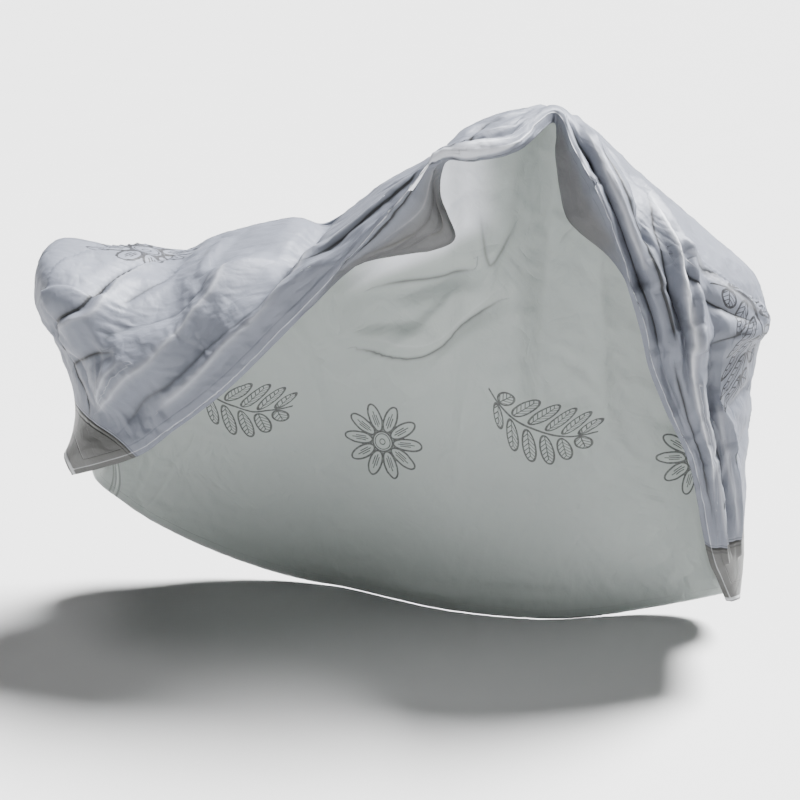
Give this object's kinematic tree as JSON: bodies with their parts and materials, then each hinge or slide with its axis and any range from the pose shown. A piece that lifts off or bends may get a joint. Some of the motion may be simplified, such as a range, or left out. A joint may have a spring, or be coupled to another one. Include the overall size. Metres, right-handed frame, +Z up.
{
  "type": "motorcycle cover",
  "caption": "Fitted two-wheeler cover of thin welded plastic film, draped as if over a small scooter, its near side drawn up over the handlebar in folds so that the inside of the far side shows",
  "frame": {"origin": "centre of the bounding box at its bottom, level with the lowest point of the far hem", "axes": "+X is the front of the covered two-wheeler, -Y the near side that is drawn up and open, +Z is up"},
  "size_m": [1.4566, 0.5118, 1.1257],
  "materials": {
    "outside_film": "silver-grey plastic film with a soft gloss outside, dull grey-green inside",
    "gusset_film": "the same film, without print"
  },
  "bodies": {
    "root": {"near_side_panel": "outside_film", "far_side_panel": "outside_film", "rear_corner_gusset": "gusset_film", "front_corner_gusset": "gusset_film"}
  },
  "joints": []
}
